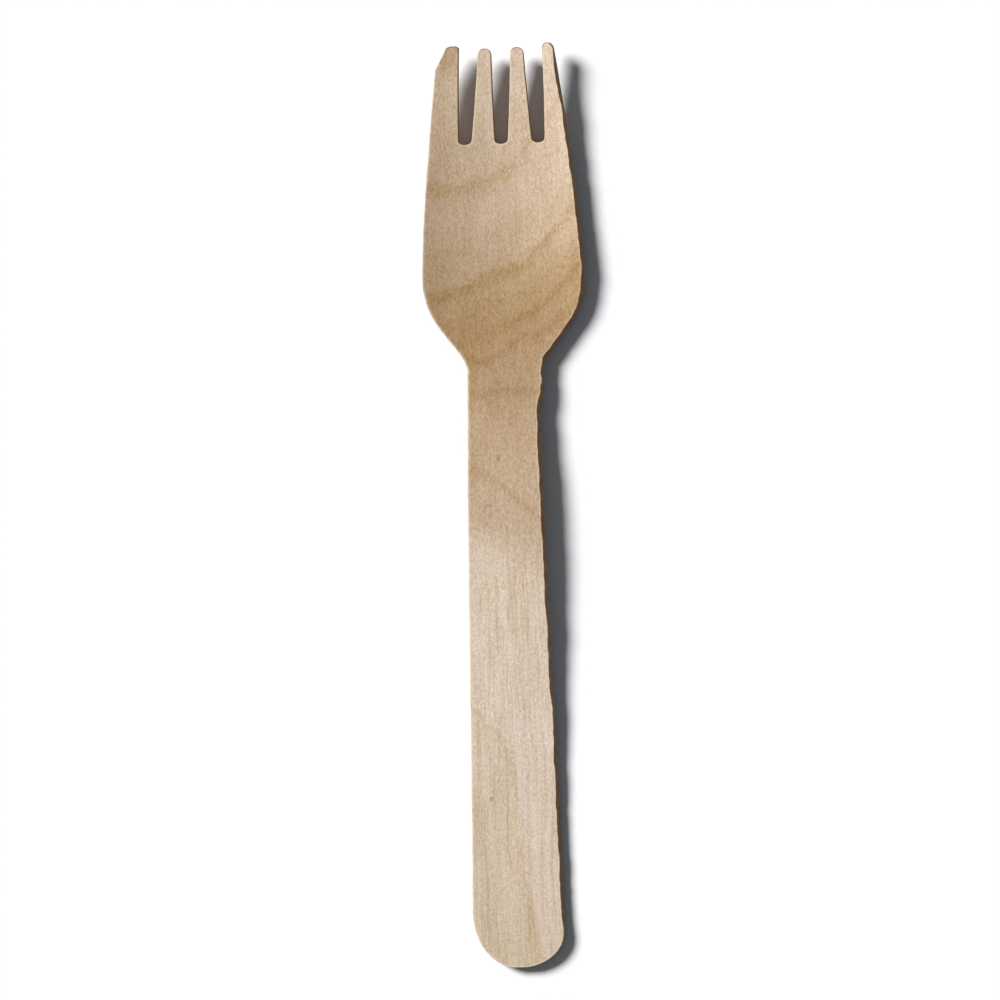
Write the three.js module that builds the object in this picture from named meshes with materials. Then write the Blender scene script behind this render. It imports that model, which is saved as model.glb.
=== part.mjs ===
import * as THREE from 'three';
import { mergeVertices } from 'three/addons/utils/BufferGeometryUtils.js';

// A disposable fork, die cut from one sheet of birch veneer and pressed to shape. Millimetres, +Z up.
// x runs across the fork from the middle of the head, y along it from the handle's end to the tines.

// The sheet
const LENGTH = 160;
const THICKNESS = 1.6;
const EDGE_EASE = 0.3; // the arris that tumbling takes off every cut edge

// The handle
const HANDLE_END_X = -0.95; // the handle was cut a little aslant, left of the head's middle
const NECK_X = -0.65;
const HANDLE_END_WIDTH = 16.3;
const NECK_WIDTH = 12.15;
const END_ROUND_LEFT = 10; // length over which each corner of the handle's end is rounded
const END_ROUND_RIGHT = 6.2;
const END_FLAT = 0.1; // the end's round is closed by a short straight edge this far along it

// The head, measured back from the tine tips
const HEAD_WIDTH = 28.1;
const WIDEST_FROM_TIP = 39.5;
const SHOULDER_LENGTH_LEFT = 17.2; // from the neck up to the widest place
const SHOULDER_LENGTH_RIGHT = 18;
const SHOULDER_SKEW = 0.7; // under 1 puts the steepest part of the shoulder nearer the neck
const SIDE_CURVE = 1.35; // how the sides of the head draw in: 1 is straight
const TIP_SPAN = 20; // across the outer corners of the outer tines

// The uncut bulge on the right edge of the neck
const BULGE_HEIGHT = 0.9;
const BULGE_FROM_TIP = 59.9;
const BULGE_REACH_DOWN = 3.6;
const BULGE_REACH_UP = 8.2;

// The tines and the slots between them, counted from the left
const TINE_LENGTH = 17.1;
const SLOT_ROOT_WIDTH = 2.15;
const SLOT_MOUTH_WIDTH = 3.35;
const SLOT_BOW = 0.5; // outward bow of a slot's walls between its root and its mouth: 0 is straight
const SLOT_ROOT_X = [-5.97, 0.33, 6.8];
const SLOT_MOUTH_X = [-4.68, 0.87, 6.4];
const SLOT_ROUND = 0.8; // length over which the bottom of a slot is rounded
const TIP_SHORTFALL = [0.1, 0.65, 0.6, 0]; // how far each tip stops short of the overall length
const TIP_ROUND = [0.5, 1.3, 1.3, 1.2];
const TIP_FLAT = 0.03;
const ROUND_POWER = 2.3; // 2 makes a tip or a slot bottom elliptical, more makes it squarer
const CLIP_WIDTH = 1.7; // the outer corner that is missing from the first tine
const CLIP_LENGTH = 3;

// The pressed shape
const FLAT_LENGTH = 22; // the end of the handle lies flat on the table
const CREST_FROM_END = 80;
const CREST_HEIGHT = 2.6;
const BOWL_FROM_TIP = 34; // the bowl comes down to the table again here
const TIP_LIFT = 2.6;
const DISH_DEPTH = 1.8; // rise of the head's sides over its middle

// Fineness of the mesh
const STRIP_COLUMNS = 3; // across each tine, and across the strip of the body below it
const ROW_STEP = 1.9;
const ROUND_ROWS = 5;
const PROBE = 1e-5;

const { lerp, clamp, smoothstep, smootherstep } = THREE.MathUtils;
const slotBottom = LENGTH - TINE_LENGTH;
const widest = LENGTH - WIDEST_FROM_TIP;
const bowl = LENGTH - BOWL_FROM_TIP;
const tineCount = TIP_ROUND.length;
const shoulderLength = { [-1]: SHOULDER_LENGTH_LEFT, [1]: SHOULDER_LENGTH_RIGHT };
const endRound = { [-1]: END_ROUND_LEFT, [1]: END_ROUND_RIGHT };
const tipEnd = TIP_SHORTFALL.map((shortfall) => LENGTH - shortfall);

// Share of the full width left at a distance into a rounded end, from 0 at its start to 1 at its very end
function roundShare(into, power) {
  const t = clamp(into, 0, 1);
  return Math.pow(1 - Math.pow(t, power), 1 / power);
}

// Half width of the head: even up to its widest place, then drawn in towards the tips
function headHalf(y) {
  const along = clamp((y - widest) / WIDEST_FROM_TIP, 0, 1);
  return HEAD_WIDTH / 2 - ((HEAD_WIDTH - TIP_SPAN) / 2) * Math.pow(along, SIDE_CURVE);
}

// Outer edge of the fork, side -1 for the left and 1 for the right
function outerEdge(y, side) {
  const neck = widest - shoulderLength[side];
  const half = lerp(HANDLE_END_WIDTH, NECK_WIDTH, y / neck) / 2;
  const round = roundShare(1 - y / endRound[side], 2);
  const handle = lerp(HANDLE_END_X, NECK_X, y / neck) + side * half * round;
  const up = clamp((y - neck) / shoulderLength[side], 0, 1);
  const share = smootherstep(Math.pow(up, SHOULDER_SKEW), 0, 1);
  return lerp(handle, side * headHalf(y), share) + (side > 0 ? bulge(y) : 0);
}

function bulge(y) {
  const past = y - (LENGTH - BULGE_FROM_TIP);
  const reach = past < 0 ? BULGE_REACH_DOWN : BULGE_REACH_UP;
  const t = clamp(Math.abs(past) / reach, 0, 1);
  return (BULGE_HEIGHT * (1 + Math.cos(Math.PI * t))) / 2;
}

// Wall of a slot, side -1 for its left wall and 1 for its right one; the two meet at the slot's bottom
function slotWall(y, slot, side) {
  const along = (y - slotBottom) / TINE_LENGTH;
  const middle = lerp(SLOT_ROOT_X[slot], SLOT_MOUTH_X[slot], along);
  const width = lerp(SLOT_ROOT_WIDTH, SLOT_MOUTH_WIDTH, along * (1 + SLOT_BOW * (1 - along)));
  return middle + (side * width * roundShare(1 - (y - slotBottom) / SLOT_ROUND, ROUND_POWER)) / 2;
}

// The two sides of a tine before its tip is rounded
function tineSide(y, tine, side) {
  const slot = side < 0 ? tine - 1 : tine;
  if (slot < 0) return Math.max(outerEdge(y, -1), clippedCorner(y));
  if (slot === SLOT_ROOT_X.length) return outerEdge(y, 1);
  return slotWall(y, slot, -side);
}

function clippedCorner(y) {
  const tip = tipEnd[0];
  return outerEdge(tip, -1) + lerp(CLIP_WIDTH, 0, (tip - y) / CLIP_LENGTH);
}

// Edge of a tine, drawn in to a round tip about the tine's own middle
function tineEdge(y, tine, side) {
  const left = tineSide(y, tine, -1);
  const right = tineSide(y, tine, 1);
  const into = 1 - (tipEnd[tine] - y) / TIP_ROUND[tine];
  return (left + right) / 2 + (side * (right - left) * roundShare(into, ROUND_POWER)) / 2;
}

// Height of the sheet's middle: flat handle, arched neck, bowl on the table, lifted tines, dished head
function middleHeight(x, y) {
  const neck = widest - SHOULDER_LENGTH_LEFT;
  const rise = smoothstep(y, FLAT_LENGTH, CREST_FROM_END);
  const fall = smoothstep(y, CREST_FROM_END, bowl);
  const lift = clamp((y - bowl) / BOWL_FROM_TIP, 0, 2);
  const dish = smoothstep(y, neck, bowl) * Math.pow((2 * x) / HEAD_WIDTH, 2);
  return THICKNESS / 2 + CREST_HEIGHT * (rise - fall) + TIP_LIFT * lift * lift + DISH_DEPTH * dish;
}

// A point of the flat sheet, level above its middle, carried onto the pressed shape
function pressed(x, y, level) {
  const slopeX = (middleHeight(x + PROBE, y) - middleHeight(x - PROBE, y)) / (2 * PROBE);
  const slopeY = (middleHeight(x, y + PROBE) - middleHeight(x, y - PROBE)) / (2 * PROBE);
  const normal = new THREE.Vector3(-slopeX, -slopeY, 1).normalize();
  return new THREE.Vector3(x, y, middleHeight(x, y)).addScaledVector(normal, level);
}

// Outward direction, in the flat sheet, of an edge x = edge(y)
function outward(edge, y, side) {
  const slope = (edge(y + PROBE) - edge(y - PROBE)) / (2 * PROBE);
  return new THREE.Vector2(side, -side * slope).normalize();
}

// One row of plan points from a left edge to a right one: the cut edge, the eased face, the cut edge
function planRow(y, leftEdge, rightEdge, columns, meets = {}) {
  const left = new THREE.Vector2(leftEdge(y), y);
  const right = new THREE.Vector2(rightEdge(y), y);
  const forward = new THREE.Vector2(0, 1); // at the bottom of a slot the cut edge faces the tips
  const leftOut = meets.left ? forward : outward(leftEdge, y, -1);
  const rightOut = meets.right ? forward : outward(rightEdge, y, 1);
  const faceLeft = left.clone().addScaledVector(leftOut, -EDGE_EASE);
  const faceRight = right.clone().addScaledVector(rightOut, -EDGE_EASE);
  const face = [];
  for (let i = 0; i <= columns; i++) face.push(faceLeft.clone().lerp(faceRight, i / columns));
  return { left, face, right };
}

function tineRow(y, tine) {
  const atBottom = y === slotBottom;
  const meets = { left: atBottom && tine > 0, right: atBottom && tine < tineCount - 1 };
  return planRow(y, (v) => tineEdge(v, tine, -1), (v) => tineEdge(v, tine, 1), STRIP_COLUMNS, meets);
}

function bodyRow(y) {
  const row = planRow(y, (v) => outerEdge(v, -1), (v) => outerEdge(v, 1), 1);
  const [faceLeft, faceRight] = row.face;
  const shares = bodyShares.map((share) => faceLeft.clone().lerp(faceRight, share));
  return { left: row.left, face: shares, right: row.right };
}

// The row where the tines begin: the first rows of all the tines, joined at the slot bottoms
function rootRow() {
  const rows = [...Array(tineCount).keys()].map((tine) => tineRow(slotBottom, tine));
  const face = rows.flatMap((row, tine) => (tine ? row.face.slice(1) : row.face));
  return { left: rows[0].left, face, right: rows[tineCount - 1].right };
}

const root = rootRow();
const bodyShares = root.face.map((p) => {
  const first = root.face[0].x;
  const last = root.face[root.face.length - 1].x;
  return (p.x - first) / (last - first);
});

// Distances from 0 to 1, crowded towards 0, for the rows of a rounded end
const quarterTurn = Math.PI / 2;
const crowded = [...Array(ROUND_ROWS + 1).keys()].map((i) => 1 - Math.cos((quarterTurn * i) / ROUND_ROWS));

function evenly(from, to) {
  const steps = Math.ceil((to - from) / ROW_STEP);
  return [...Array(steps + 1).keys()].map((i) => lerp(from, to, i / steps));
}

function bodyRows() {
  const end = crowded.map((share) => lerp(END_FLAT, END_ROUND_LEFT, share));
  const shaft = evenly(END_ROUND_LEFT, slotBottom).slice(1, -1);
  return [...end, ...shaft].map(bodyRow).concat(root);
}

function tineRows(tine) {
  const round = TIP_ROUND[tine];
  const bottom = crowded.map((share) => slotBottom + SLOT_ROUND * share);
  const shaft = evenly(slotBottom + SLOT_ROUND, tipEnd[tine] - round).slice(1);
  const tip = crowded.map((share) => tipEnd[tine] - lerp(TIP_FLAT, round, share)).reverse().slice(1);
  return [...bottom, ...shaft, ...tip].map((y) => tineRow(y, tine));
}

// The upper or lower skin of a row, from cut edge to cut edge
function skin(row, side) {
  const rim = side * (THICKNESS / 2 - EDGE_EASE);
  const face = row.face.map((p) => pressed(p.x, p.y, (side * THICKNESS) / 2));
  return [pressed(row.left.x, row.left.y, rim), ...face, pressed(row.right.x, row.right.y, rim)];
}

// The straight cut edge that closes a round end, with as many points as the skin it ends
function endLine(row, side) {
  const rim = side * (THICKNESS / 2 - EDGE_EASE);
  const last = row.face.length + 1;
  const points = [...Array(last + 1).keys()].map((i) => row.left.clone().lerp(row.right, i / last));
  return points.map((p) => pressed(p.x, p.y, rim));
}

const corners = [];

// A face whose corners have run together is left out
function triangle(a, b, c) {
  if (!a.equals(b) && !b.equals(c) && !c.equals(a)) corners.push(a, b, c);
}

// Faces between two lines of points, seen from where the first line runs to the right below the second
function stitch(lower, upper) {
  for (let i = 0; i + 1 < lower.length; i++) {
    triangle(lower[i], lower[i + 1], upper[i + 1]);
    triangle(lower[i], upper[i + 1], upper[i]);
  }
}

// The closed skin over rows that run towards the tips
function loft(tops, bottoms) {
  for (let i = 0; i + 1 < tops.length; i++) {
    stitch(tops[i], tops[i + 1]);
    stitch(bottoms[i + 1], bottoms[i]);
  }
  const edge = (lines, at) => lines.map((line) => line.at(at));
  stitch(edge(bottoms, -1), edge(tops, -1));
  stitch(edge(tops, 0), edge(bottoms, 0));
}

function makeBody() {
  const rows = bodyRows();
  const lines = (side) => [endLine(rows[0], side), ...rows.map((row) => skin(row, side))];
  const tops = lines(1);
  const bottoms = lines(-1);
  loft(tops, bottoms);
  stitch(bottoms[0], tops[0]);
}

function makeTine(tine) {
  const rows = tineRows(tine);
  const lines = (side) => [...rows.map((row) => skin(row, side)), endLine(rows.at(-1), side)];
  const tops = lines(1);
  const bottoms = lines(-1);
  loft(tops, bottoms);
  stitch(tops.at(-1), bottoms.at(-1));
}

makeBody();
for (let tine = 0; tine < tineCount; tine++) makeTine(tine);

const geometry = mergeVertices(new THREE.BufferGeometry().setFromPoints(corners));
geometry.computeBoundingBox();
const box = geometry.boundingBox;
const middle = box.getCenter(new THREE.Vector3());
geometry.translate(-middle.x, -middle.y, -box.min.z);
geometry.computeVertexNormals();

const birch = new THREE.MeshStandardMaterial({ color: 0xc9ae90, roughness: 0.75, metalness: 0 });
const fork = new THREE.Mesh(geometry, birch);
fork.name = 'wooden_fork';

const model = new THREE.Group();
model.add(fork);

export default model;
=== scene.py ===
import math

import bpy
import numpy as np
from mathutils import Matrix, Vector


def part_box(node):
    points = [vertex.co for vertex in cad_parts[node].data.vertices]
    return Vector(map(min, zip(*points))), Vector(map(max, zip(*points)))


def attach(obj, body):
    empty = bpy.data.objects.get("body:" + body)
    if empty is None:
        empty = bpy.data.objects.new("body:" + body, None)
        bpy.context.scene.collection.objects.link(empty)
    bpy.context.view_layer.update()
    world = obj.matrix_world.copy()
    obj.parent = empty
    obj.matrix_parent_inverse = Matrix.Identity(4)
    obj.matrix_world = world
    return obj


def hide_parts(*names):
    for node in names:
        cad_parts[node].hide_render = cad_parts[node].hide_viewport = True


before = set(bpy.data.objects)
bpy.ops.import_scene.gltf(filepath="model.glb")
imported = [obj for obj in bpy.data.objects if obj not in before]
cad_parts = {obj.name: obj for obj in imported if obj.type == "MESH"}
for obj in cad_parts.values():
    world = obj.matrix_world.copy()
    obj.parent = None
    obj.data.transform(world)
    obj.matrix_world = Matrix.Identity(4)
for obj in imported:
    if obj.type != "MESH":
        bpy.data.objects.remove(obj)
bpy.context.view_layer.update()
print("frame loaded")


# The sheet in millimetres: x across from the middle of the head, y from the handle's end to the tines
forkSheet = {
    "length": 160.0,
    "thickness": 1.6,
    "handleAxis": (-0.95, -0.65),  # at the end, at the neck
    "handleEndWidth": 16.3,
    "neckWidth": 12.15,
    "endRound": {-1: 10.0, 1: 6.2},  # left and right corner of the handle's end
    "endPower": 2.0,
    "endFlat": 0.1,
    "headWidth": 28.1,
    "widestFromTip": 39.5,
    "shoulder": {-1: 17.2, 1: 18.0},
    "shoulderSkew": 0.7,
    "sideCurve": 1.35,
    "tipSpan": 20.0,
    "tineLength": 17.1,
    "slotWidth": (2.15, 3.35),  # root, mouth
    "slotBow": 0.5,  # outward bow of a slot's walls
    "slotRoot": (-5.97, 0.33, 6.8),
    "slotMouth": (-4.68, 0.87, 6.4),
    "slotRound": 0.8,
    "tipShortfall": (0.1, 0.65, 0.6, 0.0),
    "tipRound": (0.5, 1.3, 1.3, 1.2),
    "tipFlat": 0.03,
    "roundPower": 2.3,
    "clip": (1.7, 3.0),  # corner missing from the first tine: width, length
    # faults of the right edge
    "bulgeHeight": 0.9,
    "bulgeFromTip": 59.9,
    "bulgeReach": (3.6, 8.2),  # towards the handle, towards the tines
    "splinter": (106.2, 0.28, 0.35, 3.0),  # torn place at the neck: place, size, rise, fall
    "ledge": (45.2, 0.16, 0.9, 16.0, 14.0),  # step in the handle: place, size, fall, reach back, rise
    # the pressed shape
    "flatLength": 22.0,
    "crestFromEnd": 80.0,
    "crestHeight": 2.6,
    "bowlFromTip": 34.0,
    "tipLift": 2.6,
    "dishDepth": 1.8,
    # unevenness of the cut line and of the pressed face: seed, longest wave
    "wander": 0.03,
    "edgeWaves": (20, 17.0),
    "edgeCalm": ((4.0, 8.0), (3.0, 6.0)),  # at the handle's end and the tips: none for, growing over
    "slotWander": 0.6,  # share of it on a slot's walls
    "slotWaves": (40, 9.0),
    "slotCalm": ((1.0, 3.0), (2.0, 3.0)),  # at a slot's bottom and mouth
    "pressWander": 0.03,
    "pressWaves": ((7, 46.0, 0.4, 1.0), (9, 31.0, 0.8, -0.3)),  # then the shares of x and y they run along
    "pressCalm": (6.0, 30.0),
    "waveSplit": (1.0, 1.9, 3.3, 5.2, 8.1),  # each wave goes into the longest so often
    "waveSizes": (1.0, 0.7, 0.55, 0.4, 0.3),
    "waveTotal": 1.5,
    # the cut edge
    "topEase": 0.12,  # rounding of the cut edge, upper and lower
    "bottomEase": 0.2,
    "draft": 0.05,  # the die leaves the lower face a little wider
    "tornDraft": 0.45,  # and wider still along the right edge, where the sheet tore
    "tearWaves": (60, 13.0),
    "tearShare": (0.8, 0.2),  # how much of it is torn: mean, swing
    "tearStart": 12.0,  # the tear grows over this length of the handle
    "clean": (100.6, 105.4),  # no tear at the bulge, from here to here
    "rimWidth": 0.32,  # width of a band of painted highlight along the edge of the upper face
    "tipZone": (4.0, 3.0),  # near the tips the cut is finer: from this far, changing over
    "tipDraft": 0.55,  # share of draft and rounding left there
    "tipRim": 0.5,  # share of the painted highlight band left there
    "endGrain": (0.3, 0.65),  # fibres cut across, by how far the cut faces along the fork: from, over
    # the mesh
    "rowStep": 0.5,
    "stripColumns": 9,
    "roundRows": 14,
    "cutSteps": (5, 5, 3),  # points round a rounded edge, along the cut wall, over the painted highlight
    "rootDrop": (0.8, 5.0),  # rows beside the slots begin lower on the outer edges: by, fading over
    "rootGap": 1.6,  # from the body's last row to the bottom of the slots
    "probe": 1e-4,  # step that slopes are measured with
    "weldGrid": 1e5,  # lines a millimetre of the grid on which points are made one
}

millimetre = 0.001  # in metres
slotBottom = forkSheet["length"] - forkSheet["tineLength"]
widest = forkSheet["length"] - forkSheet["widestFromTip"]
bowl = forkSheet["length"] - forkSheet["bowlFromTip"]
tineCount = len(forkSheet["tipRound"])


def hold(t):  # t, kept from 0 to 1
    return np.clip(t, 0.0, 1.0)


def ease(t):  # three t squared less two t cubed
    t = hold(t)
    return t * t * (3.0 - 2.0 * t)


def between(a, b, share):  # a and a share of the way from a to b
    return a + (b - a) * share


# share of the full width left at a place inside a rounded end: one less that place to a power, and of it the
# root of that power
def roundShare(into, power):
    return (1.0 - hold(into) ** power) ** (1.0 / power)


# a sum of sines of falling length and size, each with a start drawn from the seed
def unevenness(y, seed, longest):
    s = forkSheet
    dice = np.random.default_rng(seed)
    lengths = longest / np.array(s["waveSplit"])
    sizes = np.array(s["waveSizes"]) / s["waveTotal"]
    starts = dice.uniform(0.0, 2.0 * math.pi, lengths.size)
    waves = np.sin(2.0 * math.pi * np.asarray(y)[..., None] / lengths + starts)
    return waves @ sizes


# 0 at both ends of a run, easing up to 1 between them
def calmEnds(y, start, stop, calm):
    (startGap, startGrow), (stopGap, stopGrow) = calm
    return ease((y - start - startGap) / startGrow) * ease((stop - stopGap - y) / stopGrow)


# half width of the head: full at its widest, falling to the tips with a power of the way there
def headHalf(y):
    s = forkSheet
    along = hold((y - widest) / s["widestFromTip"])
    return s["headWidth"] / 2.0 - (s["headWidth"] - s["tipSpan"]) / 2.0 * along ** s["sideCurve"]


# what only the right edge has: the uncut bulge, half a cosine wave each way; the splinter, a quick rise
# and a slow fall; the ledge, a slow rise and a quick fall
def rightFaults(y):
    s = forkSheet
    past = y - (s["length"] - s["bulgeFromTip"])
    reach = np.where(past < 0.0, s["bulgeReach"][0], s["bulgeReach"][1])
    total = s["bulgeHeight"] * (1.0 + np.cos(math.pi * hold(np.abs(past) / reach))) / 2.0
    place, size, rise, fall = s["splinter"]
    total = total + size * ease((y - place) / rise) * (1.0 - ease((y - place) / fall))
    place, size, fall, reach, rise = s["ledge"]
    return total + size * (1.0 - ease((y - place) / fall)) * ease((y - place + reach) / rise)


# outer edge: handle widening to its rounded end, carried over into the head along the shoulder by six t to
# the fifth, less fifteen t to the fourth, plus ten t cubed
def outerEdge(y, side):
    s = forkSheet
    neck = widest - s["shoulder"][side]
    half = between(s["handleEndWidth"], s["neckWidth"], y / neck) / 2.0
    middle = between(*s["handleAxis"], y / neck)
    handle = middle + side * half * roundShare(1.0 - y / s["endRound"][side], s["endPower"])
    up = hold((y - neck) / s["shoulder"][side]) ** s["shoulderSkew"]
    share = up**3 * (up * (6.0 * up - 15.0) + 10.0)
    edge = between(handle, side * headHalf(y), share)
    seed, longest = s["edgeWaves"]
    away = calmEnds(y, 0.0, s["length"], s["edgeCalm"])
    edge = edge + side * s["wander"] * away * unevenness(y, seed + side, longest)
    return edge + rightFaults(y) if side > 0 else edge


# wall of a slot: half a width, growing along a bow, to one side of a leaning middle, and drawn in to a
# round bottom
def slotWall(y, slot, side):
    s = forkSheet
    along = (y - slotBottom) / s["tineLength"]
    middle = between(s["slotRoot"][slot], s["slotMouth"][slot], along)
    width = between(*s["slotWidth"], along * (1.0 + s["slotBow"] * (1.0 - along)))
    share = roundShare(1.0 - (y - slotBottom) / s["slotRound"], s["roundPower"])
    seed, longest = s["slotWaves"]
    away = calmEnds(y, slotBottom, s["length"], s["slotCalm"])
    rough = s["slotWander"] * s["wander"] * away * unevenness(y, seed + 2 * slot + side, longest)
    return middle + side * width * share / 2.0 + rough


# side of a tine below its tip: a slot's wall or the outer edge, cut off on the first tine by the
# slanting line of its missing corner
def tineSide(y, tine, side):
    s = forkSheet
    slot = tine - 1 if side < 0 else tine
    if slot < 0:
        tip = s["length"] - s["tipShortfall"][0]
        corner = outerEdge(np.float64(tip), -1) + s["clip"][0] * (1.0 - (tip - y) / s["clip"][1])
        return np.maximum(outerEdge(y, -1), corner)
    if slot == tineCount - 1:
        return outerEdge(y, 1)
    return slotWall(y, slot, -side)


# edge of a tine, drawn in about its own middle to a round tip
def tineEdge(y, tine, side):
    s = forkSheet
    left = tineSide(y, tine, -1)
    right = tineSide(y, tine, 1)
    into = 1.0 - (s["length"] - s["tipShortfall"][tine] - y) / s["tipRound"][tine]
    return (left + right) / 2.0 + side * (right - left) / 2.0 * roundShare(into, s["roundPower"])


# height of the sheet's middle: flat handle, neck eased up to a crest and down to a bowl on the table, tines
# lifted with the square of the way, head dished with the square of x
def middleHeight(x, y):
    s = forkSheet
    arch = ease((y - s["flatLength"]) / (s["crestFromEnd"] - s["flatLength"]))
    arch = arch - ease((y - s["crestFromEnd"]) / (bowl - s["crestFromEnd"]))
    lift = np.clip((y - bowl) / s["bowlFromTip"], 0.0, 2.0) ** 2
    neck = widest - s["shoulder"][-1]
    dish = ease((y - neck) / (bowl - neck)) * (2.0 * x / s["headWidth"]) ** 2
    waves = sum(unevenness(a * x + b * y, seed, longest) for seed, longest, a, b in s["pressWaves"])
    gap, grow = s["pressCalm"]
    waves = waves * s["pressWander"] * ease((y - gap) / grow)
    shape = s["crestHeight"] * arch + s["tipLift"] * lift + s["dishDepth"] * dish
    return s["thickness"] / 2.0 + shape + waves


# the die cuts straight down, so a point keeps its place in plan; its level is stretched by the root of one
# plus the squares of both slopes, so that the sheet keeps its thickness square to itself
def pressed(plan, level):
    x, y = plan[..., 0], plan[..., 1]
    probe = forkSheet["probe"]
    slopeX = (middleHeight(x + probe, y) - middleHeight(x - probe, y)) / (2.0 * probe)
    slopeY = (middleHeight(x, y + probe) - middleHeight(x, y - probe)) / (2.0 * probe)
    stretch = np.sqrt(1.0 + slopeX**2 + slopeY**2)
    return np.stack([x, y, middleHeight(x, y) + level * stretch], axis=-1)


# profile of the cut edge: a quarter circle up from the lower face, a straight wall, a quarter circle into the
# upper face, then over a band of painted highlight along the face's edge; set back by the rounding and by
# that band, share of the draft, level, shares of bare cut wood and of painted highlight
def cutProfile():
    s = forkSheet
    half = s["thickness"] / 2.0
    top, bottom = s["topEase"], s["bottomEase"]
    turnSteps, wallSteps, rimSteps = s["cutSteps"]
    turn = np.linspace(0.0, math.pi / 2.0, turnSteps)
    wall = np.linspace(0.0, 1.0, wallSteps)[1:-1]
    over = np.linspace(0.0, 1.0, rimSteps)[1:]
    lowBack, topBack = bottom * (1.0 - np.sin(turn)), top * (1.0 - np.cos(turn))
    back = np.concatenate([lowBack, 0.0 * wall, topBack, 0.0 * over + top])
    inward = np.concatenate([0.0 * turn, 0.0 * wall, 0.0 * turn, s["rimWidth"] * over])
    lean = np.concatenate([0.0 * turn, wall, np.ones(turn.size + over.size)])
    lowLevel = -half + bottom * (1.0 - np.cos(turn))
    topLevel = half - top * (1.0 - np.sin(turn))
    wallLevel = between(lowLevel[-1], topLevel[0], wall)
    level = np.concatenate([lowLevel, wallLevel, topLevel, 0.0 * over + half])
    bare = np.concatenate([turn / turn[-1], np.ones(wall.size), 1.0 - turn / turn[-1], 0.0 * over])
    rim = np.concatenate([0.0 * turn, 0.0 * wall, turn / turn[-1], 1.0 - over])
    return back, inward, lean, level, np.stack([bare, rim], axis=-1)


cutBack, cutInward, cutLean, cutLevel, cutMarks = cutProfile()


# one edge of a run of rows: the cut profile, set back in plan square to the edge; where two tines meet the
# edge faces the tips
def edgeRun(y, edge, side, torn=False, meets=False):
    s = forkSheet
    slope = (edge(y + s["probe"]) - edge(y - s["probe"])) / (2.0 * s["probe"])
    out = np.stack([np.full_like(y, side), -side * slope], axis=-1)
    out /= np.linalg.norm(out, axis=-1, keepdims=True)
    if meets:
        out[0] = (0.0, 1.0)
    line = np.stack([edge(y), y], axis=-1)
    near, change = s["tipZone"]
    atTip = ease((y - s["length"] + near) / change)
    draft = np.full_like(y, s["draft"])
    if torn:
        mean, swing = s["tearShare"]
        tear = ease(y / s["tearStart"]) * hold(mean + swing * unevenness(y, *s["tearWaves"]))
        tear = tear * between(1.0, s["tipDraft"], atTip)
        draft = draft + s["tornDraft"] * tear * (1.0 - ease(y - s["clean"][0]) * ease(s["clean"][1] - y))
    back = between(1.0, s["tipDraft"], atTip)[:, None] * (cutBack + draft[:, None] * cutLean)
    back = back + between(1.0, s["tipRim"], atTip)[:, None] * cutInward
    return line[:, None, :] - back[..., None] * out[:, None, :]


# closed rings, one for each row: left edge upwards, upper face, right edge downwards, lower face
def rings(left, right, upper, lower):
    plan = np.concatenate([left, upper[:, 1:-1], right[:, ::-1], lower[:, -2:0:-1]], axis=1)
    inner = upper.shape[1] - 2
    half = forkSheet["thickness"] / 2.0
    level = np.concatenate([cutLevel, np.full(inner, half), cutLevel[::-1], np.full(inner, -half)])
    plain = np.zeros((inner, 2))
    marks = np.concatenate([cutMarks, plain, cutMarks[::-1], plain])
    return pressed(plan, np.broadcast_to(level, plan.shape[:2])), np.broadcast_to(marks, plan.shape)


# a cap over a round end: each level of the cut edge goes straight across from left to right
def cap(left, right, shares):
    plan = between(left[:, None, :], right[:, None, :], shares[None, :, None])
    level = np.broadcast_to(cutLevel[:, None], plan.shape[:2])
    return pressed(plan, level), np.broadcast_to(cutMarks[:, None], plan.shape)


# straight lines from the left edge to the right one, at one point of the cut profile
def across(left, right, shares, at):
    return between(left[:, at, None, :], right[:, at, None, :], shares[None, :, None])


# four corners for each cell of a grid of point numbers
def cells(rows, columns, wrapped, turned=False):
    number = np.arange(rows * columns).reshape(rows, columns)
    if wrapped:
        number = np.concatenate([number, number[:, :1]], axis=1)
    corners = [number[:-1, :-1], number[:-1, 1:], number[1:, 1:], number[1:, :-1]]
    return np.stack(corners[::-1] if turned else corners, axis=-1).reshape(-1, 4)


# 0 to 1, close together near 0: one less the cosine of even steps of a quarter turn
def crowded():
    return 1.0 - np.cos(np.linspace(0.0, math.pi / 2.0, forkSheet["roundRows"] + 1))


def evenRows(start, stop):  # even steps, none longer than the row step
    return np.linspace(start, stop, int(math.ceil((stop - start) / forkSheet["rowStep"])) + 1)


# rows of a tine: crowded at the slots' bottom and at the round tip, even between them
def tineRows(tine):
    s = forkSheet
    tip = s["length"] - s["tipShortfall"][tine]
    bottom = slotBottom + s["slotRound"] * crowded()
    end = tip - between(s["tipFlat"], s["tipRound"][tine], crowded())[::-1]
    return np.concatenate([bottom, evenRows(bottom[-1], end[0])[1:-1], end])


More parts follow.
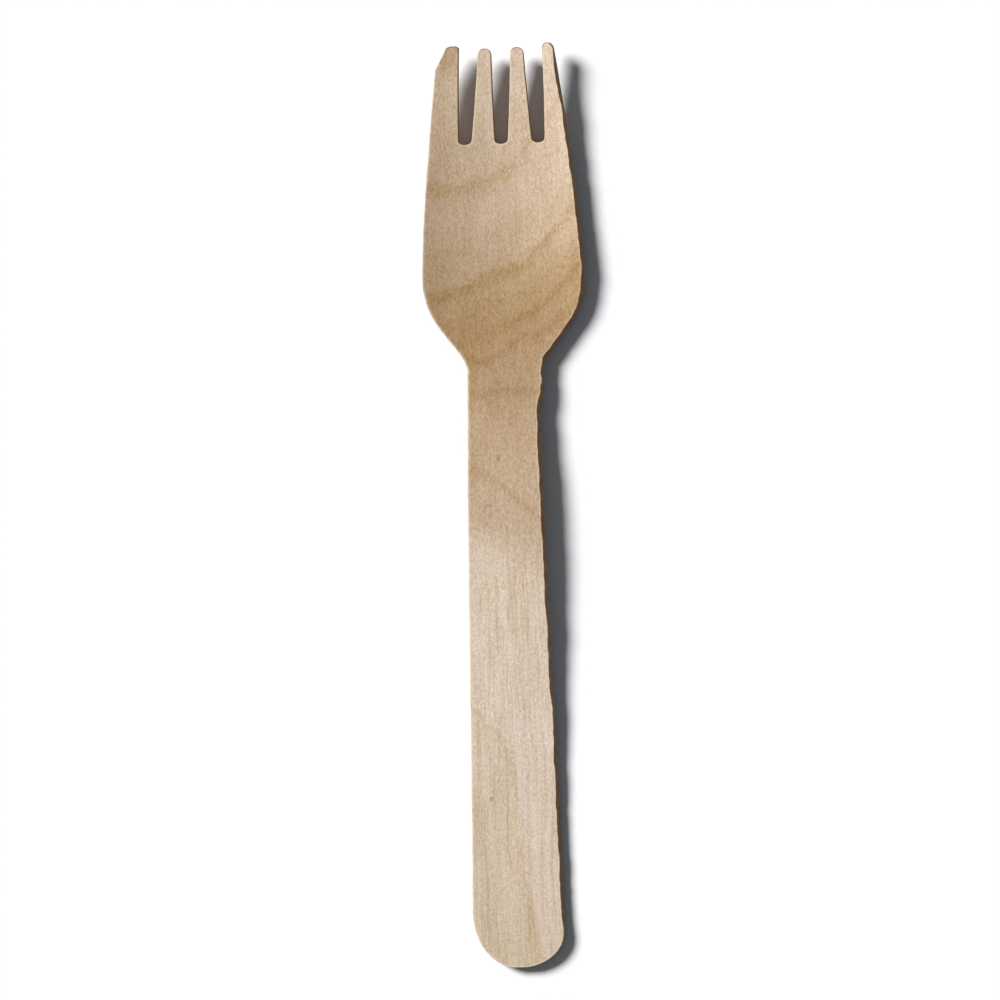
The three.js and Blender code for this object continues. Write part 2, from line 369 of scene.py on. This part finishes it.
# points, marks and cells of the four tines, and the row at their roots that the body ends in
def tinePatches():
    patches, rootUpper, rootLower, rootEdges = [], [], [], []
    shares = np.linspace(0.0, 1.0, forkSheet["stripColumns"] + 1)
    drop, fade = forkSheet["rootDrop"]
    for tine in range(tineCount):
        first, last = tine == 0, tine == tineCount - 1
        y = tineRows(tine)
        outerY = y - drop * (1.0 - ease((y - slotBottom) / fade))
        left = edgeRun(outerY if first else y, lambda v: tineEdge(v, tine, -1), -1, meets=not first)
        right = edgeRun(outerY if last else y, lambda v: tineEdge(v, tine, 1), 1, last, not last)
        upper = across(left, right, shares, -1)
        lower = across(left, right, shares, 0)
        points, marks = rings(left, right, upper, lower)
        patches.append((points, marks, cells(*points.shape[:2], True)))
        points, marks = cap(left[-1], right[-1], shares)
        patches.append((points, marks, cells(*points.shape[:2], False, True)))
        rootUpper.append(upper[0] if first else upper[0, 1:])
        rootLower.append(lower[0] if first else lower[0, 1:])
        rootEdges.append((left[:1], right[:1]))
    rootRow = (np.concatenate(rootUpper), np.concatenate(rootLower), rootEdges[0][0], rootEdges[-1][1])
    return patches, rootRow


# handle, neck and head; their columns keep the shares that they have where the tines begin
def bodyPatches(rootUpper, rootLower, rootLeft, rootRight):
    s = forkSheet
    spread = (rootUpper[:, 0] - rootUpper[0, 0]) / (rootUpper[-1, 0] - rootUpper[0, 0])
    end = between(s["endFlat"], s["endRound"][-1], crowded())
    y = np.concatenate([end, evenRows(end[-1], slotBottom - s["rootGap"])[1:]])
    left = edgeRun(y, lambda v: outerEdge(v, -1), -1)
    right = edgeRun(y, lambda v: outerEdge(v, 1), 1, torn=True)
    upper = np.concatenate([across(left, right, spread, -1), rootUpper[None]])
    lower = np.concatenate([across(left, right, spread, 0), rootLower[None]])
    endCap = cap(left[0], right[0], spread)
    points, marks = rings(np.concatenate([left, rootLeft]), np.concatenate([right, rootRight]), upper, lower)
    body = (points, marks, cells(*points.shape[:2], True))
    return [body, (*endCap, cells(*endCap[0].shape[:2], False))]


def makeFork():
    s = forkSheet
    patches, rootRow = tinePatches()
    patches = patches + bodyPatches(*rootRow)

    # one list of points, with the shared ones made one
    starts = np.cumsum([0] + [p[0].size // 3 for p in patches])
    points = np.concatenate([p[0].reshape(-1, 3) for p in patches])
    marks = np.concatenate([p[1].reshape(-1, 2) for p in patches])
    faces = np.concatenate([p[2] + start for p, start in zip(patches, starts)])
    rounded = np.round(points * s["weldGrid"]).astype(np.int64)
    first, place = np.unique(rounded, axis=0, return_index=True, return_inverse=True)[1:]
    points, faces = points[first], place.reshape(-1)[faces]
    bare, rim = marks[first].T

    # into metres, on the CAD node's own middle and its lowest level
    low, high = (np.array(corner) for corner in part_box("wooden_fork"))
    points = points * millimetre
    shift = (low + high) / 2.0 - (points.min(0) + points.max(0)) / 2.0
    shift[2] = low[2] - points[:, 2].min()
    points = points + shift

    mesh = bpy.data.meshes.new("fork_veneer")
    mesh.from_pydata(points.tolist(), [], faces.tolist())
    mesh.polygons.foreach_set("use_smooth", np.ones(len(faces), dtype=bool))
    mesh.update()
    normals = np.empty(points.size, dtype=np.float32)
    mesh.vertex_normals.foreach_get("vector", normals)
    start, over = s["endGrain"]
    endGrain = bare * ease((np.abs(normals.reshape(-1, 3)[:, 1]) - start) / over)
    # shares of bare cut wood, of the band of painted highlight and of end grain, kept on the points
    for name, values in (("cutWood", bare), ("rim", rim), ("endGrain", endGrain)):
        mesh.attributes.new(name, "FLOAT", "POINT").data.foreach_set("value", values.astype(np.float32))
    piece = bpy.data.objects.new("fork_veneer", mesh)
    bpy.context.collection.objects.link(piece)
    print("fork made:", len(points), "points,", len(faces), "faces")
    return piece


# The birch, in millimetres from the fork's middle: colours as a paint program shows them, tints as the share
# of each colour that is left, noise in turns a millimetre across, along and through the sheet
birch = {
    "span": (28.0, 160.0),  # measure of the figure, across and along
    # noise that moves the figure, coarse and fine, and how far
    "wavers": (
        {"scale": (0.09, 0.06, 0.09), "detail": 2.0, "roughness": 0.5, "reach": (2.2, 5.0, 0.0)},
        {"scale": (0.9, 0.35, 0.9), "detail": 2.0, "roughness": 0.5, "reach": (0.5, 1.3, 0.0)},
    ),
    # along the fork, handle to tines: colour there, partly the wood's own tone and partly painted shade of
    # the bends: darker at the neck and the head's base, paler on the handle
    "tonesAndShade": (
        (-80.0, (202, 185, 162)),
        (-58.0, (211, 194, 174)),
        (-30.0, (217, 200, 181)),
        (-13.0, (216, 198, 178)),
        (-3.0, (192, 168, 141)),
        (10.0, (188, 162, 133)),
        (22.0, (174, 145, 112)),
        (33.0, (169, 139, 100)),
        (46.0, (191, 166, 138)),
        (54.0, (201, 178, 153)),
        (62.0, (205, 182, 157)),
        (80.0, (222, 201, 178)),
    ),
    "slantZone": (0.0, 40.0),
    "slant": (0.45, -0.5),  # how the tones lie across the handle and across the head
    "headZone": (0.0, 30.0),
    "headShadeAndTone": ((0.91, 0.865, 0.78), (1.11, 1.13, 1.16)),  # left and right side of the head: partly painted shade and light of the dish lit from the left, partly paler wood on the right
    "headShadeReach": 12.0,
    # growth rings that cross the fork: points across and along, strength left and right, rise and fall
    "rings": (
        (((-14, 55.3), (-8, 56.2), (-2, 56.9), (3, 59.2), (5.5, 62.6), (9, 68), (14, 77)),
         0.6, 0.35, 2.8, 2.0),
        (((-14, 37.2), (-7.8, 37.4), (-2.5, 39.2), (2.8, 41.5), (7.3, 46.6), (11.8, 51.3), (14, 54)),
         0.88, 0.72, 2.8, 1.6),
        (((-14, 27.5), (-8, 28.5), (-2, 30.6), (2.2, 32.6), (5.8, 34.6), (9.4, 36.9), (12.2, 39.6), (14, 42)),
         0.45, 0.85, 1.9, 1.4),
        (((-14, 26.6), (-6.6, 26.3), (-3.2, 26), (-1, 27.3), (2.2, 29.2), (6.4, 30.5), (9.9, 32.8), (14, 36)),
         0.65, 0.55, 1.8, 1.3),
        (((-14, 19.6), (-6.2, 19.8), (-1.4, 20), (2.1, 20.6), (4.7, 19.9), (14, 19.5)),
         0.5, 0.6, 1.9, 1.3),
        (((-14, 8), (-6.1, 5.9), (-3.2, 5), (-0.7, 3.5), (1.5, 1.4), (5, -3), (14, -16)),
         0.6, 0.6, 1.8, 1.3),
    ),
    "ringSides": (-6.0, 9.0),  # across, from the left strength to the right one
    # the ring that turns along the handle: points along and across, rise and fall
    "handleRing": (
        (-80, 2.9), (-72.8, 1.8), (-65, 0.6), (-56.3, -0.3), (-47.6, -0.9), (-41.5, -2.1), (-38.8, -4.6),
        (-35.3, -7.4), (-28, -14),
    ),
    "handleRingEdge": (1.6, 1.0),
    "handleRingStrength": 0.42,
    "handleRingZone": (-30.0, -36.0),
    "handleTint": ((0.97, 0.96, 0.93), (1.03, 1.03, 1.06)),  # left and right of the handle's ring
    "handleTintEdge": (1.0, 1.5),
    "ringTint": (0.83, 0.74, 0.55),
    "ringByCloud": (0.3, 0.6, 0.7, 1.05),  # noise from, to; share of the ring there
    "ringByFleck": (0.25, 0.6, 0.6, 1.15),
    # the grain: dark and pale as noise from, to and tint; share on the head and on the handle
    "fleck": {
        "scale": (2.7, 1.25, 2.2), "detail": 3.0, "roughness": 0.62, "share": (1.0, 0.65),
        "shades": ((0.5, 0.7, (0.84, 0.785, 0.72)), (0.48, 0.3, (1.13, 1.13, 1.12))),
    },
    "streak": {
        "scale": (2.1, 0.04, 1.5), "detail": 3.0, "roughness": 0.6, "share": (0.5, 1.0),
        "shades": ((0.48, 0.7, (0.87, 0.81, 0.74)), (0.5, 0.3, (1.08, 1.08, 1.09))),
    },
    "grainZone": (0.0, -20.0),
    "cloud": {"scale": (0.3, 0.11, 0.3), "detail": 3.0, "roughness": 0.5},
    "cloudShade": (0.35, 0.7),
    "cloudTint": (0.95, 0.92, 0.88),
    "sand": {"scale": (3.6, 2.4, 3.0), "detail": 2.0, "roughness": 0.6},
    "sandShade": (0.25, 0.75),
    "sandSpread": 0.155,
    # blots: across, along, size; and squeeze along, inner and outer edge in sizes, strength
    "specks": ((-1.7, 8.4, 0.35), (-5.0, -50.6, 0.28)),  # pin knots
    "speckShape": (0.6, 0.4, 1.5, 0.5),
    "speckColour": (128, 92, 58),
    "tineStain": (-8.2, 78.6, 4.2),
    "stainShape": (0.8, 0.3, 1.0, 0.8),
    "stainTint": (0.82, 0.73, 0.59),
    # the cut edge
    "layers": {"scale": (1.2, 0.9, 5.0), "detail": 3.0, "roughness": 0.6},
    "layerShade": (0.3, 0.7, 0.7, 1.15),
    "cutWood": (172, 122, 72),
    "cutShare": 0.75,
    "endGrainShade": 0.22,
    "rim": (226, 208, 182),  # painted highlight: a pale band where the cut edge turns into the face
    "rimByFleck": (0.3, 0.7, 0.9, 0.35),
    "rimSides": (2.0, 9.0, 0.9, 0.45),  # the painted highlight fainter to the right, away from the lamp
    "tipRim": (100, 78, 56),  # the same band at the tips, a dark brown line
    "tipZone": (78.3, 79.2),
    # the sheen and the relief
    "sheen": (0.3, 0.7, 0.62, 0.74),  # fleck from, to; roughness there
    "cutSheen": 0.1,  # added on the cut edge
    "specular": 0.3,
    "relief": {"fleck": -1.0, "sand": -0.6, "layers": 1.5},
    "reliefStrength": 0.5,
    "reliefHeight": 0.00005,
}


def linear(colour):  # a colour from 0 to 255, made linear
    c = np.array(colour) / 255.0
    return (*np.where(c <= 0.04045, c / 12.92, ((c + 0.055) / 1.055) ** 2.4), 1.0)


def newNode(tree, kind, inputs=(), **settings):
    node = tree.nodes.new(kind)
    for key, value in settings.items():
        setattr(node, key, value)
    for key, value in dict(inputs).items():
        if isinstance(value, bpy.types.NodeSocket):
            tree.links.new(value, node.inputs[key])
        else:
            node.inputs[key].default_value = value
    return node


def birchFinish():
    finish = bpy.data.materials.new("birch_veneer")
    finish.use_nodes = True
    tree = finish.node_tree
    shader = next(n for n in tree.nodes if n.type == "BSDF_PRINCIPLED")
    width, length = birch["span"]

    def calc(operation, a, b=0.0, c=0.0):
        return newNode(tree, "ShaderNodeMath", {0: a, 1: b, 2: c}, operation=operation).outputs[0]

    def vector(operation, a, b):
        return newNode(tree, "ShaderNodeVectorMath", {0: a, 1: b}, operation=operation).outputs[0]

    def scaled(a, factor):
        return newNode(tree, "ShaderNodeVectorMath", {0: a, "Scale": factor}, operation="SCALE").outputs[0]

    def apart(a, b):
        return newNode(tree, "ShaderNodeVectorMath", {0: a, 1: b}, operation="DISTANCE").outputs["Value"]

    def parts(a):
        return newNode(tree, "ShaderNodeSeparateXYZ", {0: a}).outputs

    def step(value, low, high, outLow=0.0, outHigh=1.0):
        inputs = {"Value": value, "From Min": low, "From Max": high, "To Min": outLow, "To Max": outHigh}
        return newNode(tree, "ShaderNodeMapRange", inputs, interpolation_type="SMOOTHSTEP").outputs["Result"]

    def noise(at, kind):
        at = vector("MULTIPLY", at, kind["scale"])
        inputs = {"Vector": at, "Scale": 1.0, "Detail": kind["detail"], "Roughness": kind["roughness"]}
        return newNode(tree, "ShaderNodeTexNoise", inputs).outputs

    def mixed(share, a, b, blend="MIX"):
        node = newNode(tree, "ShaderNodeMix", {0: share, 6: a, 7: b}, data_type="RGBA", blend_type=blend)
        return node.outputs[2]

    def tinted(a, tint, share, other=1.0):
        return mixed(calc("MULTIPLY", share, other), a, (*tint, 1.0), "MULTIPLY")

    def curve(value, points):  # a smooth line through the points, both axes from 0 to 1
        node = newNode(tree, "ShaderNodeFloatCurve", {"Factor": 1.0, "Value": value})
        line = node.mapping.curves[0].points
        line[0].location, line[1].location = points[0], points[-1]
        for point in points[1:-1]:
            line.new(*point)
        node.mapping.update()
        return node.outputs[0]

    def ridge(past, rise, fall):  # a soft rise to a line, and a sharper fall after it
        return calc("MULTIPLY", step(past, -rise, 0.0), step(past, 0.0, fall, 1.0, 0.0))

    def blot(at, where, shape):  # full inside, fading out with the distance from its middle
        px, py, size = where
        squeeze, inner, outer, strength = shape
        away = apart(vector("MULTIPLY", at, (1.0, squeeze, 0.0)), (px, squeeze * py, 0.0))
        return step(away, inner * size, outer * size, strength, 0.0)

    def attribute(name):
        return newNode(tree, "ShaderNodeAttribute", attribute_name=name).outputs["Fac"]

    spot = scaled(newNode(tree, "ShaderNodeTexCoord").outputs["Object"], 1.0 / millimetre)
    place = parts(spot)

    # the figure of the wood wavers: coarse and fine noise moves each spot a little
    moved = spot
    for waver in birch["wavers"]:
        away = vector("SUBTRACT", noise(spot, waver)["Color"], (0.5, 0.5, 0.5))
        moved = vector("ADD", moved, vector("MULTIPLY", away, waver["reach"]))
    figure = parts(moved)
    x, y = figure["X"], figure["Y"]
    acrossShare = calc("MULTIPLY_ADD", x, 1.0 / width, 0.5)
    alongShare = calc("MULTIPLY_ADD", y, 1.0 / length, 0.5)

    # tones, with their painted shade, lie aslant: falling to the right on the handle, rising to the right on
    # the head
    along = calc("MULTIPLY_ADD", x, step(place["Y"], *birch["slantZone"], *birch["slant"]), y)
    ramp = newNode(tree, "ShaderNodeValToRGB", {0: calc("MULTIPLY_ADD", along, 1.0 / length, 0.5)})
    ramp.color_ramp.interpolation = "EASE"
    stops = ramp.color_ramp.elements
    tonesAndShade = birch["tonesAndShade"]
    stops[0].position, stops[1].position = 0.0, 1.0
    stops[0].color, stops[1].color = linear(tonesAndShade[0][1]), linear(tonesAndShade[-1][1])
    for stop, tone in tonesAndShade[1:-1]:
        stops.new(stop / length + 0.5).color = linear(tone)
    # painted shade on the head's left and painted light on its right, as the dished head takes the lamp from
    # the left, with paler wood on the right
    onHead = step(place["Y"], *birch["headZone"])
    leftTint, rightTint = birch["headShadeAndTone"]
    reach = birch["headShadeReach"]
    colour = tinted(ramp.outputs["Color"], leftTint, step(x, 0.0, -reach), onHead)
    colour = tinted(colour, rightTint, step(x, 0.0, reach), onHead)

    # growth rings across the fork
    ringShare = 0.0
    for points, leftward, rightward, rise, fall in birch["rings"]:
        line = curve(acrossShare, [(px / width + 0.5, py / length + 0.5) for px, py in points])
        past = calc("MULTIPLY", calc("SUBTRACT", alongShare, line), length)
        strength = step(x, *birch["ringSides"], leftward, rightward)
        ringShare = calc("MULTIPLY_ADD", ridge(past, rise, fall), strength, ringShare)

    # the handle's ring, with yellower wood left of it and pinker wood right of it
    line = curve(alongShare, [(py / length + 0.5, px / width + 0.5) for py, px in birch["handleRing"]])
    past = calc("MULTIPLY", calc("SUBTRACT", acrossShare, line), width)
    onHandle = step(place["Y"], *birch["handleRingZone"])
    band = calc("MULTIPLY", ridge(past, *birch["handleRingEdge"]), onHandle)
    ringShare = calc("MULTIPLY_ADD", band, birch["handleRingStrength"], ringShare)
    leftTint, rightTint = birch["handleTint"]
    near, far = birch["handleTintEdge"]
    colour = tinted(colour, leftTint, step(past, near, -far), onHandle)
    colour = tinted(colour, rightTint, step(past, -near, far), onHandle)

    # short flecks, more on the head; long streaks, more on the handle; broad clouds; sandy grain
    fleck = noise(spot, birch["fleck"])["Fac"]
    streak = noise(moved, birch["streak"])["Fac"]
    cloud = noise(spot, birch["cloud"])["Fac"]
    sand = noise(spot, birch["sand"])["Fac"]
    ringShare = calc("MULTIPLY", ringShare, step(cloud, *birch["ringByCloud"]))
    ringShare = calc("MULTIPLY", ringShare, step(fleck, *birch["ringByFleck"]))
    colour = tinted(colour, birch["ringTint"], ringShare)
    for value, kind in ((fleck, birch["fleck"]), (streak, birch["streak"])):
        share = step(place["Y"], *birch["grainZone"], *kind["share"])
        for low, high, tint in kind["shades"]:
            colour = tinted(colour, tint, step(value, low, high), share)
    colour = tinted(colour, birch["cloudTint"], step(cloud, *birch["cloudShade"]))
    spread = birch["sandSpread"]
    colour = scaled(colour, step(sand, *birch["sandShade"], 1.0 + spread, 1.0 - spread))

    # pin knots, and the stain at the tip of the first tine
    dark = 0.0
    for speck in birch["specks"]:
        dark = calc("MAXIMUM", blot(spot, speck, birch["speckShape"]), dark)
    colour = mixed(dark, colour, linear(birch["speckColour"]))
    colour = tinted(colour, birch["stainTint"], blot(moved, birch["tineStain"], birch["stainShape"]))

    # bare cut wood: browner, darker where the fibres are cut across; a painted highlight, a pale band where
    # the edge turns into the face, fainter to the right away from the lamp, and dark brown at the tips
    bare = attribute("cutWood")
    layers = noise(spot, birch["layers"])["Fac"]
    shade = step(layers, *birch["layerShade"])
    shade = calc("MULTIPLY", shade, calc("MULTIPLY_ADD", attribute("endGrain"), -birch["endGrainShade"], 1.0))
    cut = mixed(birch["cutShare"], colour, linear(birch["cutWood"]))
    colour = mixed(bare, colour, scaled(cut, shade))
    atTip = step(place["Y"], *birch["tipZone"])
    whole = calc("MULTIPLY", step(fleck, *birch["rimByFleck"]), step(place["X"], *birch["rimSides"]))
    # the painted highlight, broken by the flecks and fainter to the right; at the tips a dark brown line
    # instead
    rim = calc("MULTIPLY", attribute("rim"), calc("MAXIMUM", whole, atTip))
    colour = mixed(rim, colour, mixed(atTip, linear(birch["rim"]), linear(birch["tipRim"])))
    tree.links.new(colour, shader.inputs["Base Color"])

    # duller on dark flecks and on the cut; flecks and grains lie low, the layers of the cut stand out
    rough = calc("MULTIPLY_ADD", bare, birch["cutSheen"], step(fleck, *birch["sheen"]))
    tree.links.new(rough, shader.inputs["Roughness"])
    shader.inputs["Specular IOR Level"].default_value = birch["specular"]
    relief = birch["relief"]
    height = calc("MULTIPLY_ADD", sand, relief["sand"], calc("MULTIPLY", fleck, relief["fleck"]))
    height = calc("MULTIPLY_ADD", calc("MULTIPLY", layers, bare), relief["layers"], height)
    inputs = {"Strength": birch["reliefStrength"], "Distance": birch["reliefHeight"], "Height": height}
    bump = newNode(tree, "ShaderNodeBump", inputs)
    tree.links.new(bump.outputs["Normal"], shader.inputs["Normal"])
    print("birch finish made")
    return finish


fork = makeFork()
fork.data.materials.append(birchFinish())
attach(fork, "root")
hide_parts("wooden_fork")


# The studio: white paper, one broad lamp from the left and the tines' end, a little light from all round
studio = {
    "floorHalf": 1.5,
    "floorLevel": -0.0007,  # a little under the fork, so that its shadow stands off
    "floorGrey": (0.98, 0.3),  # as it is seen, and for the light that it throws back on the fork
    "skyColour": (0.9, 0.98, 1.08),
    "skyLevel": 0.11,
    "lampLevel": 0.92,  # light that the lamp gives a level surface, where 1 shows a colour as written
    "lampHeight": 41.0,  # degrees above the floor
    "lampTurn": 33.0,  # degrees from the left towards the tines
    "lampSize": 20.0,  # degrees across
}


# 1 where a surface is seen, also in a reflection or through glass, and 0 where it only gives light
def isSeen(tree):
    path = newNode(tree, "ShaderNodeLightPath").outputs
    seen = path["Is Camera Ray"]
    for other in ("Is Glossy Ray", "Is Transmission Ray"):
        seen = newNode(tree, "ShaderNodeMath", {0: seen, 1: path[other]}, operation="MAXIMUM").outputs[0]
    return seen


def makeFloor():
    half, level = studio["floorHalf"], studio["floorLevel"]
    corners = [(-half, -half, level), (half, -half, level), (half, half, level), (-half, half, level)]
    mesh = bpy.data.meshes.new("floor")
    mesh.from_pydata(corners, [], [(0, 1, 2, 3)])
    finish = bpy.data.materials.new("floor_paper")
    finish.use_nodes = True
    tree = finish.node_tree
    shader = next(n for n in tree.nodes if n.type == "BSDF_PRINCIPLED")
    bright, dim = studio["floorGrey"]
    grey = newNode(tree, "ShaderNodeMapRange", {"Value": isSeen(tree), "To Min": dim, "To Max": bright})
    tree.links.new(grey.outputs["Result"], shader.inputs["Base Color"])
    shader.inputs["Roughness"].default_value = 1.0
    shader.inputs["Specular IOR Level"].default_value = 0.0
    mesh.materials.append(finish)
    floor = bpy.data.objects.new("floor", mesh)
    bpy.context.collection.objects.link(floor)


# the sky looks white, and lights the scene only a little
def makeSky():
    world = bpy.data.worlds.new("studio")
    bpy.context.scene.world = world
    world.use_nodes = True
    tree = world.node_tree
    sky = next(n for n in tree.nodes if n.type == "BACKGROUND")
    dim = studio["skyLevel"]
    level = newNode(tree, "ShaderNodeMapRange", {"Value": isSeen(tree), "To Min": dim, "To Max": 1.0})
    tree.links.new(level.outputs["Result"], sky.inputs["Strength"])
    sky.inputs["Color"].default_value = (*studio["skyColour"], 1.0)


def makeLamp():
    height = math.radians(studio["lampHeight"])
    turn = math.radians(studio["lampTurn"])
    flat = math.cos(height)
    source = Vector((-flat * math.cos(turn), flat * math.sin(turn), math.sin(height)))
    lamp = bpy.data.lights.new("window", "SUN")
    lamp.energy = studio["lampLevel"] * math.pi / math.sin(height)
    lamp.angle = math.radians(studio["lampSize"])
    holder = bpy.data.objects.new("window", lamp)
    holder.rotation_euler = source.to_track_quat("Z", "Y").to_euler()
    bpy.context.collection.objects.link(holder)
    print("floor and light made")


# The camera: nearly straight down, a little from the right, the fork leaning a little to the left
view = {
    "picture": 1000.0,  # pixels each way
    "forkLength": 0.160,
    "forkPixels": 924.0,  # how long the fork comes in the picture
    "middle": (510.7, 506.4),  # where the middle of the fork comes in the picture
    "level": 0.002,  # height of that middle
    "lens": 250.0,
    "fromRight": 5.0,  # degrees
    "lean": 1.8,
    "farthest": 20.0,
}


def makeCamera():
    lens = bpy.data.cameras.new("camera")
    lens.lens = view["lens"]
    lens.clip_end = view["farthest"]
    pixel = view["forkLength"] / view["forkPixels"]
    away = view["picture"] * pixel * view["lens"] / lens.sensor_width
    lean, tilt = math.radians(view["lean"]), math.radians(view["fromRight"])
    up = Vector((math.sin(lean), math.cos(lean), 0.0))
    flatRight = Vector((math.cos(lean), -math.sin(lean), 0.0))
    back = math.sin(tilt) * flatRight + math.cos(tilt) * Vector((0.0, 0.0, 1.0))
    right = up.cross(back)
    aim = Vector((0.0, 0.0, view["level"]))
    aim -= right * (view["middle"][0] - view["picture"] / 2.0) * pixel
    aim += up * (view["middle"][1] - view["picture"] / 2.0) * pixel
    holder = bpy.data.objects.new("camera", lens)
    turn = Matrix((right, up, back)).transposed().to_4x4()
    holder.matrix_world = Matrix.Translation(aim + back * away) @ turn
    bpy.context.collection.objects.link(holder)
    bpy.context.scene.camera = holder
    print("camera made")


makeFloor()
makeSky()
makeLamp()
makeCamera()
bpy.context.scene.view_settings.view_transform = "Standard"
